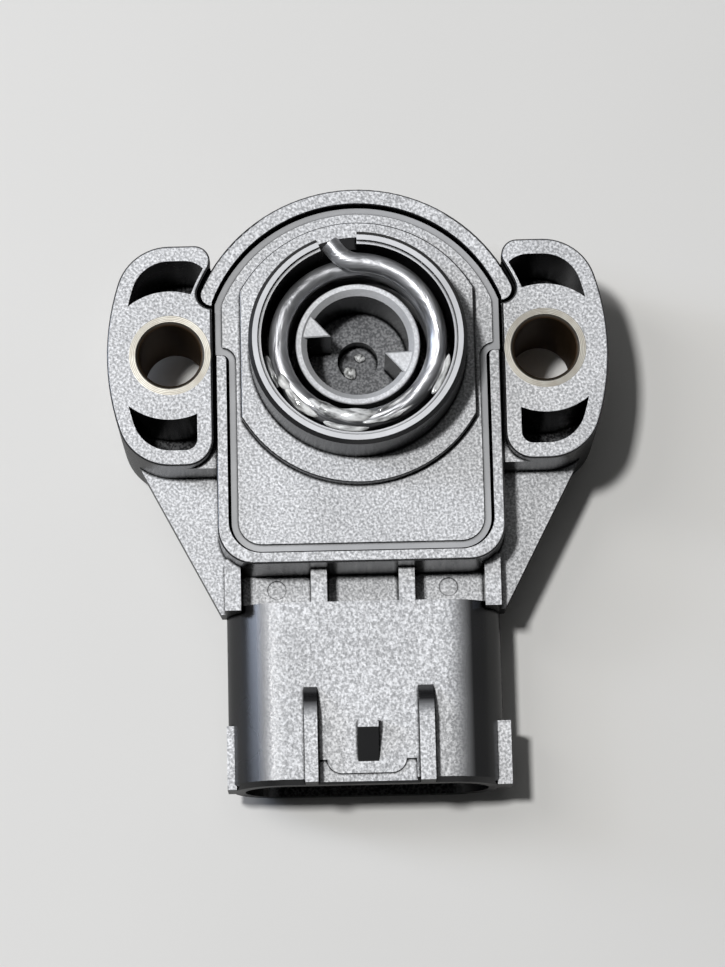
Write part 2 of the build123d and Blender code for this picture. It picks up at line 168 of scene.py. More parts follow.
class SensorColours(bpy.types.PropertyGroup):
    """Colours of the sensor's materials and of the floor."""

    # Painted sheen: flat faces are painted pale grey, while the plastic itself is near black
    case: FloatVectorProperty(
        name="Case plastic", description="Flat faces of the case, the connector and the cover",
        subtype="COLOR", size=4, min=0, max=1, default=linear("#949597"))
    # Painted sparkle: the lighter specks stand in for glints of the grain's sheen
    painted_sparkle: FloatVectorProperty(
        name="Speck", description="Lighter glass specks in the textured faces",
        subtype="COLOR", size=4, min=0, max=1, default=linear("#d8d9db"))
    # The wall colour is the dark plastic itself; flat faces are painted lighter as sheen
    wall: FloatVectorProperty(
        name="Wall plastic", description="Polished walls, which look darker than the flat faces",
        subtype="COLOR", size=4, min=0, max=1, default=linear("#141415"))
    # Painted sheen: the smooth margin is painted pale grey too
    margin: FloatVectorProperty(
        name="Cover margin", description="Smooth margin of the cover, beside the case's rim",
        subtype="COLOR", size=4, min=0, max=1, default=linear("#9c9d9f"))
    # Painted sheen: the rotor's ring and wedges, and the cover's collar rim, are painted pale as a highlight
    rotor: FloatVectorProperty(
        name="Rotor plastic", description="Ring and wedges of the drive rotor",
        subtype="COLOR", size=4, min=0, max=1, default=linear("#c3c4c6"))
    # Painted shade: the socket's dark colour stands in for the shade inside it
    socket: FloatVectorProperty(
        name="Greased socket", description="Floor of the rotor's socket under a film of grease",
        subtype="COLOR", size=4, min=0, max=1, default=linear("#555658"))
    sleeve: FloatVectorProperty(
        name="Sleeve metal", description="Turned end faces of the mounting sleeves",
        subtype="COLOR", size=4, min=0, max=1, default=linear("#8e8c85"))
    bore: FloatVectorProperty(
        name="Sleeve bore", description="Tarnished metal inside the sleeves",
        subtype="COLOR", size=4, min=0, max=1, default=linear("#5d4a36"))
    wire: FloatVectorProperty(
        name="Spring wire", description="Drawn steel of the return spring under its grease",
        subtype="COLOR", size=4, min=0, max=1, default=linear("#c4c5c8"))
    grease: FloatVectorProperty(
        name="Grease", description="Pale grease on the spring and in the rotor",
        subtype="COLOR", size=4, min=0, max=1, default=linear("#c4c5c4"))
    board: FloatVectorProperty(
        name="Board laminate", description="Laminate of the element board",
        subtype="COLOR", size=4, min=0, max=1, default=linear("#7a6a3e"))
    contact: FloatVectorProperty(
        name="Contact strip", description="Spring brass of the wiper",
        subtype="COLOR", size=4, min=0, max=1, default=linear("#d9c38a"))
    tin: FloatVectorProperty(
        name="Tin plate", description="Tin on the connector blades",
        subtype="COLOR", size=4, min=0, max=1, default=linear("#d2d0cb"))
    floor: FloatVectorProperty(
        name="Floor", description="Plain pale floor",
        subtype="COLOR", size=4, min=0, max=1, default=linear("#d3d2cf"))


class SensorTextures(bpy.types.PropertyGroup):
    """Real sizes of the surface patterns."""

    grain: FloatProperty(
        name="Mould grain", description="Width of a grain left by the spark-eroded mould, drawn coarse",
        unit="LENGTH", precision=5, default=0.2 * MM)
    grain_depth: FloatProperty(
        name="Grain depth", description="Depth of the mould grain",
        unit="LENGTH", precision=5, default=0.06 * MM)
    # The specks spaced here are painted sparkle of the grain's sheen
    speck_spacing: FloatProperty(
        name="Speck spacing", description="Distance between glass specks",
        unit="LENGTH", precision=5, default=0.22 * MM)
    # Painted shade: how far the darkening reaches out of a corner or a joint
    corner_shade_reach: FloatProperty(
        name="Crevice", description="How far grime reaches out of a corner or a joint",
        unit="LENGTH", precision=5, default=0.5 * MM)
    patch: FloatProperty(
        name="Handling patch", description="Width of the patches left by handling",
        unit="LENGTH", precision=5, default=6 * MM)
    turning_pitch: FloatProperty(
        name="Turning pitch", description="Distance between the turning marks on the sleeves",
        unit="LENGTH", precision=5, default=0.14 * MM)
    smear: FloatProperty(
        name="Grease smear", description="Width of a smear of grease on the wire",
        unit="LENGTH", precision=5, default=1.1 * MM)
    weave: FloatProperty(
        name="Board weave", description="Distance between the laminate's threads",
        unit="LENGTH", precision=5, default=0.4 * MM)


class SensorGrease(bpy.types.PropertyGroup):
    """Shape of the grease beads."""

    width: FloatProperty(
        name="Width", description="Change to the width of every bead, as a share of the width seen",
        subtype="FACTOR", min=0.5, max=1.5, default=1.0)
    flatness: FloatProperty(
        name="Flatness", description="Height of a bead as a share of its width",
        subtype="FACTOR", min=0.1, max=1, default=0.6)
    unevenness: FloatProperty(
        name="Unevenness", description="Depth of the dents in a bead as a share of its width",
        subtype="FACTOR", min=0, max=0.5, default=0.2)
    dent: FloatProperty(
        name="Dent", description="Distance between dents",
        unit="LENGTH", precision=5, default=1.1 * MM)
    smoothness: IntProperty(
        name="Smoothness", description="Rings of faces along a bead", min=8, max=128, default=48)


class SensorSpring(bpy.types.PropertyGroup):
    """Heights for the return spring: where it is held and where it is driven."""

    held_above: FloatProperty(
        name="Held above", description="Height above which the spring stays in the collar's notch",
        unit="LENGTH", precision=5, default=3.3 * MM)
    driven_below: FloatProperty(
        name="Driven below", description="Height below which the spring turns with the rotor",
        unit="LENGTH", precision=5, default=-5.2 * MM)


class SensorStage(bpy.types.PropertyGroup):
    """Camera, lamps and floor."""

    camera_place: FloatVectorProperty(
        name="Camera place", description="Where the camera stands",
        subtype="TRANSLATION", unit="LENGTH", size=3, default=(-2.4 * MM, -75.5 * MM, 296.7 * MM))
    camera_tilt: FloatProperty(
        name="Camera tilt", description="Lean of the view from straight down",
        subtype="ANGLE", default=math.radians(12.11))
    camera_yaw: FloatProperty(
        name="Camera yaw", description="Turn of the view about the rotor axis",
        subtype="ANGLE", default=math.radians(-2.29))
    camera_roll: FloatProperty(
        name="Camera roll", description="Turn of the image about its middle",
        subtype="ANGLE", default=math.radians(0.99))
    focal_px: FloatProperty(
        name="Focal length", description="Focal length in pixels of the image", default=3482.0)
    floor_width: FloatProperty(
        name="Floor width", description="Width of the plain floor", unit="LENGTH", default=2.4)
    key_power: FloatProperty(
        name="Key power", description="Power of the small softbox that casts the shadows",
        unit="POWER", default=3.0)
    sheen_power: FloatProperty(
        name="Sheen power", description="Power of the overhead softbox that the flat faces mirror",
        unit="POWER", default=0.25)
    side_power: FloatProperty(
        name="Side power", description="Power of the softbox on the left", unit="POWER", default=1.0)
    strip_power: FloatProperty(
        name="Strip power", description="Power of the low strip light that the round sides mirror",
        unit="POWER", default=0.9)
    front_power: FloatProperty(
        name="Front power", description="Power of the low softbox in front", unit="POWER", default=0.04)
    room_level: FloatProperty(
        name="Room level", description="Level of the even light from all round", default=0.04)
    backdrop_level: FloatProperty(
        name="Backdrop level", description="Level at which the far floor and the room are seen", default=0.7)
    mirrored_level: FloatProperty(
        name="Mirrored level", description="Level of the room in shiny faces", default=0.12)
    mirrored_floor: FloatProperty(
        name="Mirrored floor", description="Share of the floor's colour that shiny faces mirror",
        subtype="FACTOR", min=0, max=1, default=0.35)


def settings():
    """The sensor's property groups on the scene."""
    return bpy.context.scene.sensor_finish


def add_node(tree, kind, inputs=None, **options):
    """Adds a node, sets its options, and gives its inputs their values or links."""
    node = tree.nodes.new(kind)
    for name, value in options.items():
        setattr(node, name, value)
    for socket, value in (inputs or {}).items():
        if isinstance(value, bpy.types.NodeSocket):
            tree.links.new(value, node.inputs[socket])
        else:
            node.inputs[socket].default_value = value
    return node


def new_material(name):
    """An empty material and its node tree."""
    material = bpy.data.materials.new(name)
    material.use_nodes = True
    material.node_tree.nodes.clear()
    return material, material.node_tree


def close_material(tree, inputs):
    """Ends a node tree with a principled surface."""
    surface = add_node(tree, "ShaderNodeBsdfPrincipled", inputs)
    add_node(tree, "ShaderNodeOutputMaterial", {"Surface": surface.outputs["BSDF"]})


def dress(material, *nodes):
    """Gives CAD nodes a material."""
    for name in nodes:
        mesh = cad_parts[name].data
        mesh.materials.clear()
        mesh.materials.append(material)


def facing(tree):
    """How squarely a face looks along the rotor axis: 1 up, 0 sideways and -1 down."""
    normal = add_node(tree, "ShaderNodeNewGeometry").outputs["Normal"]
    return add_node(tree, "ShaderNodeSeparateXYZ", {"Vector": normal}).outputs["Z"]


def flat_faces(tree, leans):
    """1 on faces square to the rotor axis, either way, fading to 0 between two leans in degrees."""
    either_way = add_node(tree, "ShaderNodeMath", {0: facing(tree)}, operation="ABSOLUTE")
    return add_node(tree, "ShaderNodeMapRange", {
        "Value": either_way.outputs[0], "From Min": math.cos(math.radians(leans[1])),
        "From Max": math.cos(math.radians(leans[0]))}).outputs[0]


def upward_faces(tree):
    """1 on faces that look up and 0 on those that look down."""
    return add_node(tree, "ShaderNodeMath", {0: facing(tree), 1: 0.0}, operation="GREATER_THAN").outputs[0]


def above(tree, level):
    """1 above a height in mm and 0 below it."""
    place = add_node(tree, "ShaderNodeTexCoord").outputs["Object"]
    height = add_node(tree, "ShaderNodeSeparateXYZ", {"Vector": place}).outputs["Z"]
    return add_node(tree, "ShaderNodeMath", {0: height, 1: level * MM}, operation="GREATER_THAN").outputs[0]


def moulded(tree, plate, tone, gloss=1.0, leans=FLAT_LEANS):
    """Moulded plastic: dark walls, flat faces in a paler tone painted as sheen, flecks of painted sparkle
    and grain where plate is 1, and painted shade in corners.
    """
    colours = settings().colours
    sizes = settings().textures
    place = add_node(tree, "ShaderNodeTexCoord").outputs["Object"]
    flat = flat_faces(tree, leans)
    flattest = add_node(tree, "ShaderNodeMath", {0: flat, 1: 3.0}, operation="POWER")
    textured = add_node(tree, "ShaderNodeMath", {
        0: flattest.outputs[0], 1: plate}, operation="MULTIPLY").outputs[0]
    grain = add_node(tree, "ShaderNodeTexNoise", {
        "Vector": place, "Scale": 1 / sizes.grain, "Detail": 2.0, "Roughness": 0.6})
    crater = add_node(tree, "ShaderNodeTexVoronoi", {
        "Vector": place, "Scale": 1 / (1.6 * sizes.grain)}, feature="SMOOTH_F1")
    relief = add_node(tree, "ShaderNodeMath", {
        0: grain.outputs[0], 1: crater.outputs[0]}, operation="ADD")
    height = add_node(tree, "ShaderNodeMath", {
        0: relief.outputs[0], 1: textured}, operation="MULTIPLY")
    bump = add_node(tree, "ShaderNodeBump", {
        "Strength": 0.8, "Distance": sizes.grain_depth, "Height": height.outputs[0]})
    fleck = add_node(tree, "ShaderNodeTexNoise", {
        "Vector": place, "Scale": 1 / sizes.speck_spacing, "Detail": 2.0, "Roughness": 0.5})
    fleck_share = add_node(tree, "ShaderNodeMapRange", {
        "Value": fleck.outputs[0], "From Min": FLECK_RANGE[0], "From Max": FLECK_RANGE[1]})
    fleck_mask = add_node(tree, "ShaderNodeMath", {
        0: fleck_share.outputs[0], 1: textured}, operation="MULTIPLY")
    patch = add_node(tree, "ShaderNodeTexNoise", {
        "Vector": place, "Scale": 1 / sizes.patch, "Detail": 3.0})
    shade = add_node(tree, "ShaderNodeMapRange", {
        "Value": patch.outputs[0], "From Min": 0.3, "From Max": 0.7,
        "To Min": PATCH_SHADES[0], "To Max": PATCH_SHADES[1]})
    face = add_node(tree, "ShaderNodeMix", {
        0: fleck_mask.outputs[0], 6: tone, 7: colours.painted_sparkle}, data_type="RGBA")
    # Walls keep the dark plastic; flat faces take the paler tone, painted as sheen
    sheen_painted_skin = add_node(tree, "ShaderNodeMix", {
        0: flat, 6: colours.wall, 7: face.outputs[2]}, data_type="RGBA")
    # Painted shade: occlusion darkens corners and joints, and cuts their gloss
    corner = add_node(tree, "ShaderNodeAmbientOcclusion", {
        "Distance": sizes.corner_shade_reach}, samples=CORNER_SAMPLES)
    unshaded = add_node(tree, "ShaderNodeMapRange", {
        "Value": corner.outputs["AO"], "From Min": CORNER_SHADE_RANGE[0], "From Max": CORNER_SHADE_RANGE[1],
        "To Min": 0.02, "To Max": 1.0})
    shaded_and_worn = add_node(tree, "ShaderNodeMath", {
        0: unshaded.outputs[0], 1: shade.outputs[0]}, operation="MULTIPLY")
    base = add_node(tree, "ShaderNodeVectorMath", {
        0: sheen_painted_skin.outputs[2], "Scale": shaded_and_worn.outputs[0]}, operation="SCALE")
    polish = add_node(tree, "ShaderNodeMapRange", {
        "Value": flat, "To Min": WALL_GLOSS, "To Max": FLAT_GLOSS})
    glossy = add_node(tree, "ShaderNodeMath", {0: polish.outputs[0], 1: gloss}, operation="MULTIPLY")
    sheen = add_node(tree, "ShaderNodeMath", {
        0: unshaded.outputs[0], 1: glossy.outputs[0]}, operation="MULTIPLY")
    rough = add_node(tree, "ShaderNodeMapRange", {
        "Value": textured, "To Min": WALL_ROUGHNESS, "To Max": FLAT_ROUGHNESS})
    uneven = add_node(tree, "ShaderNodeMath", {
        0: patch.outputs[0], 1: 0.12, 2: rough.outputs[0]}, operation="MULTIPLY_ADD")
    close_material(tree, {
        "Base Color": base.outputs[0], "Roughness": uneven.outputs[0], "IOR": 1.55,
        "Specular IOR Level": sheen.outputs[0], "Normal": bump.outputs[0]})


def case_plastic():
    """Glass-filled polyester from a spark-eroded mould: speckled grey faces painted pale as sheen, dark
    walls, and hollows painted dark as shade.
    """
    material, tree = new_material("glass_filled_polyester_case")
    colours = settings().colours
    # Painted shade: upward faces deep in the hollows take the dark wall colour and less gloss
    floors = add_node(tree, "ShaderNodeMath", {
        0: upward_faces(tree), 1: flat_faces(tree, FLAT_LEANS)}, operation="MULTIPLY")
    hollow_shade = add_node(tree, "ShaderNodeMix", {
        0: above(tree, HOLLOW_LEVEL), 2: floors.outputs[0], 3: 0.0})
    tone = add_node(tree, "ShaderNodeMix", {
        0: hollow_shade.outputs[0], 6: colours.case, 7: colours.wall}, data_type="RGBA")
    open_face = add_node(tree, "ShaderNodeMapRange", {
        "Value": hollow_shade.outputs[0], "To Min": 1.0, "To Max": 0.1}).outputs[0]
    moulded(tree, open_face, tone.outputs[2], open_face, CASE_LEANS)
    return material


def cover_plastic():
    """The same polyester with a polished margin: speckle on the plate and soft gloss beside it, the collar
    and its notch painted dark as shade, and the collar's rim painted pale as a highlight.
    """
    colours = settings().colours
    material, tree = new_material("glass_filled_polyester_cover")
    on_plate, on_collar = above(tree, MARGIN_LEVEL), above(tree, PLATE_LEVEL)
    on_rim = above(tree, RIM_LEVEL)
    tone = add_node(tree, "ShaderNodeMix", {
        0: on_plate, 6: colours.margin, 7: colours.case}, data_type="RGBA")
    # Painted shade: the collar and its notch take the dark wall colour
    tone = add_node(tree, "ShaderNodeMix", {
        0: on_collar, 6: tone.outputs[2], 7: colours.wall}, data_type="RGBA")
    # Painted highlight: the collar's rim takes the pale rotor colour
    tone = add_node(tree, "ShaderNodeMix", {
        0: on_rim, 6: tone.outputs[2], 7: colours.rotor}, data_type="RGBA")
    plate = add_node(tree, "ShaderNodeMath", {0: on_plate, 1: on_collar}, operation="SUBTRACT")
    notch_shade = add_node(tree, "ShaderNodeMath", {0: on_collar, 1: on_rim}, operation="SUBTRACT")
    # The notch's gloss is cut to deepen its painted shade
    gloss = add_node(tree, "ShaderNodeMapRange", {
        "Value": notch_shade.outputs[0], "To Min": 1.0, "To Max": 0.2})
    moulded(tree, plate.outputs[0], tone.outputs[2], gloss.outputs[0])
    return material


def rotor_plastic():
    """Acetal rotor: a ring and wedges painted pale as sheen over a socket painted dark as shade, with a soft
    gloss.
    """
    colours = settings().colours
    material, tree = new_material("acetal_rotor")
    on_top = above(tree, RING_LEVEL)
    # Painted shade below the ring, painted sheen on the ring and wedges above it
    tone = add_node(tree, "ShaderNodeMix", {
        0: on_top, 6: colours.socket, 7: colours.rotor}, data_type="RGBA")
    plate = add_node(tree, "ShaderNodeMapRange", {"Value": on_top, "To Min": 0.25, "To Max": 1.0})
    moulded(tree, plate.outputs[0], tone.outputs[2], 0.2, ROTOR_LEANS)
    return material


def turned_brass():
    """Pale turned brass: fine rings on the end faces and a darker tarnished bore."""
    colours = settings().colours
    material, tree = new_material("turned_brass_sleeve")
    place = add_node(tree, "ShaderNodeTexCoord").outputs["Object"]
    parts = add_node(tree, "ShaderNodeSeparateXYZ", {"Vector": place})
    side = add_node(tree, "ShaderNodeMath", {0: parts.outputs["X"]}, operation="ABSOLUTE")
    across = add_node(tree, "ShaderNodeMath", {
        0: side.outputs[0], 1: mid("mounting_sleeve_right").x}, operation="SUBTRACT")
    flat = add_node(tree, "ShaderNodeCombineXYZ", {"X": across.outputs[0], "Y": parts.outputs["Y"]})
    radius = add_node(tree, "ShaderNodeVectorMath", {0: flat.outputs[0]}, operation="LENGTH")
    turn = add_node(tree, "ShaderNodeMath", {
        0: radius.outputs["Value"], 1: math.tau / settings().textures.turning_pitch}, operation="MULTIPLY")
    rings = add_node(tree, "ShaderNodeMath", {0: turn.outputs[0]}, operation="SINE")
    bump = add_node(tree, "ShaderNodeBump", {
        "Strength": 0.25, "Distance": 0.01 * MM, "Height": rings.outputs[0]})
    low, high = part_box("mounting_sleeve_right")
    outside = (high.x - low.x) / 2
    in_bore = add_node(tree, "ShaderNodeMapRange", {
        "Value": radius.outputs["Value"], "From Min": outside - BORE_EDGE[0] * MM,
        "From Max": outside - BORE_EDGE[1] * MM, "To Min": 1.0, "To Max": 0.0})
    tarnish = add_node(tree, "ShaderNodeTexNoise", {
        "Vector": place, "Scale": 1 / (STAIN_WIDTH * MM), "Detail": 4.0})
    stain = add_node(tree, "ShaderNodeMapRange", {
        "Value": tarnish.outputs[0], "From Min": 0.35, "From Max": 0.7, "To Min": 0.0, "To Max": 0.25})
    share = add_node(tree, "ShaderNodeMath", {
        0: in_bore.outputs[0], 1: stain.outputs[0]}, operation="MAXIMUM")
    base = add_node(tree, "ShaderNodeMix", {
        0: share.outputs[0], 6: colours.sleeve, 7: colours.bore}, data_type="RGBA")
    rough = add_node(tree, "ShaderNodeMapRange", {
        "Value": share.outputs[0], "To Min": 0.42, "To Max": 0.5})
    close_material(tree, {
        "Base Color": base.outputs[2], "Metallic": 1.0, "Roughness": rough.outputs[0],
        "Normal": bump.outputs[0]})
    return material


def along_coil(tree):
    """Places unrolled round the rotor axis and shortened along the coil, which makes patterns streaks."""
    low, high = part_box("return_spring")
    place = add_node(tree, "ShaderNodeTexCoord").outputs["Object"]
    turned = add_node(tree, "ShaderNodeMapping", {
        "Vector": place, "Rotation": (0, 0, math.radians(STREAK_SEAM))})
    parts = add_node(tree, "ShaderNodeSeparateXYZ", {"Vector": turned.outputs[0]})
    bearing = add_node(tree, "ShaderNodeMath", {
        0: parts.outputs["Y"], 1: parts.outputs["X"]}, operation="ARCTAN2")
    along = add_node(tree, "ShaderNodeMath", {
        0: bearing.outputs[0], 1: STREAK_SHARE * (high.x - low.x)}, operation="MULTIPLY")
    flat = add_node(tree, "ShaderNodeCombineXYZ", {"X": parts.outputs["X"], "Y": parts.outputs["Y"]})
    across = add_node(tree, "ShaderNodeVectorMath", {0: flat.outputs[0]}, operation="LENGTH")
    return add_node(tree, "ShaderNodeCombineXYZ", {
        "X": along.outputs[0], "Y": across.outputs["Value"], "Z": parts.outputs["Z"]}).outputs[0]


def greased_wire():
    """Drawn spring steel under a film of grease: broad highlights broken by streaks drawn along the wire."""
    material, tree = new_material("greased_spring_steel")
    smear = add_node(tree, "ShaderNodeTexNoise", {
        "Vector": along_coil(tree), "Scale": 1 / settings().textures.smear, "Detail": 2.5,
        "Roughness": 0.65, "Distortion": 0.6})
    ripple = add_node(tree, "ShaderNodeBump", {
        "Strength": 1.0, "Distance": 0.16 * MM, "Height": smear.outputs[0]})
    shade = add_node(tree, "ShaderNodeMapRange", {
        "Value": smear.outputs[0], "From Min": 0.3, "From Max": 0.7, "To Min": 0.4, "To Max": 1.0})
    base = add_node(tree, "ShaderNodeVectorMath", {
        0: settings().colours.wire[:3], "Scale": shade.outputs[0]}, operation="SCALE")
    rough = add_node(tree, "ShaderNodeMapRange", {
        "Value": smear.outputs[0], "From Min": 0.3, "From Max": 0.7, "To Min": 0.3, "To Max": 0.45})
    close_material(tree, {
        "Base Color": base.outputs[0], "Metallic": 0.8, "Roughness": rough.outputs[0],
        "Coat Weight": 0.8, "Coat Roughness": 0.15, "Normal": ripple.outputs[0],
        "Coat Normal": ripple.outputs[0]})
    return material


def clear_grease():
    """Lithium grease: pale and dark streaks drawn round the coil under a wet gloss."""
    material, tree = new_material("lithium_grease")
    drag = add_node(tree, "ShaderNodeTexNoise", {
        "Vector": along_coil(tree), "Scale": 1 / (0.4 * settings().textures.smear), "Detail": 3.0})
    ripple = add_node(tree, "ShaderNodeBump", {
        "Strength": 0.8, "Distance": 0.15 * MM, "Height": drag.outputs[0]})
    shade = add_node(tree, "ShaderNodeMapRange", {
        "Value": drag.outputs[0], "From Min": 0.35, "From Max": 0.6, "To Min": 0.15, "To Max": 1.3})
    base = add_node(tree, "ShaderNodeVectorMath", {
        0: settings().colours.grease[:3], "Scale": shade.outputs[0]}, operation="SCALE")
    close_material(tree, {
        "Base Color": base.outputs[0], "Roughness": 0.12, "IOR": 1.47, "Coat Weight": 1.0,
        "Coat Roughness": 0.06, "Normal": ripple.outputs[0]})
    return material


def woven_laminate():
    """Glass-cloth laminate: a matt brown board with a fine weave."""
    material, tree = new_material("glass_cloth_laminate")
    place = add_node(tree, "ShaderNodeTexCoord").outputs["Object"]
    threads = [
        add_node(tree, "ShaderNodeTexWave", {
            "Vector": place, "Scale": 0.05 * math.tau / settings().textures.weave, "Distortion": 0.4},
            wave_type="BANDS", bands_direction=way)
        for way in ("X", "Y")]
    weave = add_node(tree, "ShaderNodeMath", {
        0: threads[0].outputs[1], 1: threads[1].outputs[1]}, operation="MULTIPLY")
    shade = add_node(tree, "ShaderNodeMapRange", {"Value": weave.outputs[0], "To Min": 0.75, "To Max": 1.1})
    base = add_node(tree, "ShaderNodeVectorMath", {
        0: settings().colours.board[:3], "Scale": shade.outputs[0]}, operation="SCALE")
    bump = add_node(tree, "ShaderNodeBump", {
        "Strength": 0.3, "Distance": 0.02 * MM, "Height": weave.outputs[0]})
    close_material(tree, {"Base Color": base.outputs[0], "Roughness": 0.55, "Normal": bump.outputs[0]})
    return material


def rolled_strip(name, colour, roughness):
    """Rolled strip metal: long fine rolling lines and a soft shine."""
    material, tree = new_material(name)
    place = add_node(tree, "ShaderNodeTexCoord").outputs["Object"]
    along = add_node(tree, "ShaderNodeMapping", {"Vector": place, "Scale": (1.0, 0.04, 1.0)})
    lines = add_node(tree, "ShaderNodeTexNoise", {
        "Vector": along.outputs[0], "Scale": 1 / (ROLLING_LINE * MM), "Detail": 2.0})
    shade = add_node(tree, "ShaderNodeMapRange", {"Value": lines.outputs[0], "To Min": 0.8, "To Max": 1.05})
    base = add_node(tree, "ShaderNodeVectorMath", {
        0: colour[:3], "Scale": shade.outputs[0]}, operation="SCALE")
    rough = add_node(tree, "ShaderNodeMapRange", {
        "Value": lines.outputs[0], "To Min": roughness - 0.06, "To Max": roughness + 0.1})
    bump = add_node(tree, "ShaderNodeBump", {
        "Strength": 0.15, "Distance": 0.01 * MM, "Height": lines.outputs[0]})
    close_material(tree, {
        "Base Color": base.outputs[0], "Metallic": 1.0, "Roughness": rough.outputs[0],
        "Normal": bump.outputs[0]})
    return material


def pale_floor():
    """Painted board: pale and matt, as pale far off as near by, and darker where shiny faces mirror it."""
    material, tree = new_material("painted_board_floor")
    place = add_node(tree, "ShaderNodeTexCoord").outputs["Object"]
    mottle = add_node(tree, "ShaderNodeTexNoise", {
        "Vector": place, "Scale": 1 / (FLOOR_MOTTLE * MM), "Detail": 2.0})
    shade = add_node(tree, "ShaderNodeMapRange", {
        "Value": mottle.outputs[0], "To Min": 0.98, "To Max": 1.02})
    ray = add_node(tree, "ShaderNodeLightPath")
    mirrored = add_node(tree, "ShaderNodeMapRange", {
        "Value": ray.outputs["Is Glossy Ray"], "To Min": 1.0, "To Max": settings().stage.mirrored_floor})
    level = add_node(tree, "ShaderNodeMath", {
        0: shade.outputs[0], 1: mirrored.outputs[0]}, operation="MULTIPLY")
    base = add_node(tree, "ShaderNodeVectorMath", {
        0: settings().colours.floor[:3], "Scale": level.outputs[0]}, operation="SCALE")
    distance = add_node(tree, "ShaderNodeVectorMath", {0: place}, operation="LENGTH")
    far = add_node(tree, "ShaderNodeMapRange", {
        "Value": distance.outputs["Value"], "From Min": FAR_FLOOR[0], "From Max": FAR_FLOOR[1],
        "To Min": 0.0, "To Max": settings().stage.backdrop_level})
    seen = add_node(tree, "ShaderNodeMath", {
        0: ray.outputs["Is Camera Ray"], 1: far.outputs[0]}, operation="MULTIPLY")
    close_material(tree, {
        "Base Color": base.outputs[0], "Roughness": 0.8, "Emission Color": settings().colours.floor,
        "Emission Strength": seen.outputs[0]})
    return material


def new_piece(name, shape, material):
    """A finished piece from a bmesh, smooth shaded, at the origin."""
    mesh = bpy.data.meshes.new(name)
    bmesh.ops.recalc_face_normals(shape, faces=shape.faces)
    shape.to_mesh(mesh)
    shape.free()
    mesh.shade_smooth()
    mesh.materials.append(material)
    piece = bpy.data.objects.new(name, mesh)
    bpy.context.scene.collection.objects.link(piece)
    return piece


class SENSOR_OT_finish_housing(bpy.types.Operator):
    """Give the housing its moulded finish"""

    bl_idname = "sensor.finish_housing"
    bl_label = "Finish housing"

    def execute(self, context):
        dress(case_plastic(), "housing")
        return {"FINISHED"}


class SENSOR_OT_finish_cover(bpy.types.Operator):
    """Give the cover and its collar their moulded finish"""

    bl_idname = "sensor.finish_cover"
    bl_label = "Finish cover"

    def execute(self, context):
        dress(cover_plastic(), "cover")
        return {"FINISHED"}


class SENSOR_OT_finish_sleeves(bpy.types.Operator):
    """Give the mounting sleeves their turned finish"""

    bl_idname = "sensor.finish_sleeves"
    bl_label = "Finish sleeves"

    def execute(self, context):
        dress(turned_brass(), "mounting_sleeve_left", "mounting_sleeve_right")
        return {"FINISHED"}


class SENSOR_OT_finish_rotor(bpy.types.Operator):
    """Give the rotor its moulded finish"""

    bl_idname = "sensor.finish_rotor"
    bl_label = "Finish rotor"

    def execute(self, context):
        dress(rotor_plastic(), "rotor")
        return {"FINISHED"}


class SENSOR_OT_finish_spring(bpy.types.Operator):
    """Give the return spring its greased steel, on a copy of its mesh that takes the CAD spring's place"""

    bl_idname = "sensor.finish_spring"
    bl_label = "Finish spring"

    def execute(self, context):
        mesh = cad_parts["return_spring"].data.copy()
        mesh.materials.clear()
        mesh.materials.append(greased_wire())
        piece = bpy.data.objects.new("winding_spring", mesh)
        context.scene.collection.objects.link(piece)
        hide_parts("return_spring")
        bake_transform(piece)
        return {"FINISHED"}


class SENSOR_OT_add_grease(bpy.types.Operator):
    """Add the beads of grease on the spring and in the rotor's pit"""

    bl_idname = "sensor.add_grease"
    bl_label = "Add grease"

    def execute(self, context):
        material = clear_grease()
        self.add_beads("grease_on_spring", SPRING_BEADS, material, STILL_BODY)
        self.add_beads("grease_in_pit", PIT_BEADS, material, TURNING_BODY)
        return {"FINISHED"}

    def add_beads(self, name, beads, material, body):
        """One piece of several dented beads, each bent round the rotor axis, that rides with a body."""
        grease = settings().grease
        shape = bmesh.new()
        for first, last, distance, height, width in beads:
            half = grease.width * width * MM / 2
            rings = grease.smoothness
            bead = bmesh.ops.create_uvsphere(shape, u_segments=rings // 2, v_segments=rings, radius=1.0)
            for vert in bead["verts"]:
                bearing = math.radians((first + last) / 2 + (last - first) / 2 * vert.co.z)
                out = Vector((math.cos(bearing), math.sin(bearing), 0))
                centre = distance * MM * out + Vector((0, 0, height * MM))
                aside = half * (vert.co.x * out + grease.flatness * vert.co.y * Vector((0, 0, 1)))
                swell = 1 + 2 * grease.unevenness * noise.noise((centre + aside) / grease.dent)
                vert.co = centre + swell * aside
        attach(new_piece(name, shape, material), body)


class SENSOR_OT_finish_board(bpy.types.Operator):
    """Give the element board its laminate"""

    bl_idname = "sensor.finish_board"
    bl_label = "Finish board"

    def execute(self, context):
        dress(woven_laminate(), "element_board")
        return {"FINISHED"}


class SENSOR_OT_finish_contacts(bpy.types.Operator):
    """Give the wiper and the three blades their strip metal"""

    bl_idname = "sensor.finish_contacts"
    bl_label = "Finish contacts"

    def execute(self, context):
        colours = settings().colours
        dress(rolled_strip("spring_brass_strip", colours.contact, 0.28), "wiper_contact")
        dress(rolled_strip("tin_plated_strip", colours.tin, 0.32),
              "terminal_left", "terminal_middle", "terminal_right")
        return {"FINISHED"}


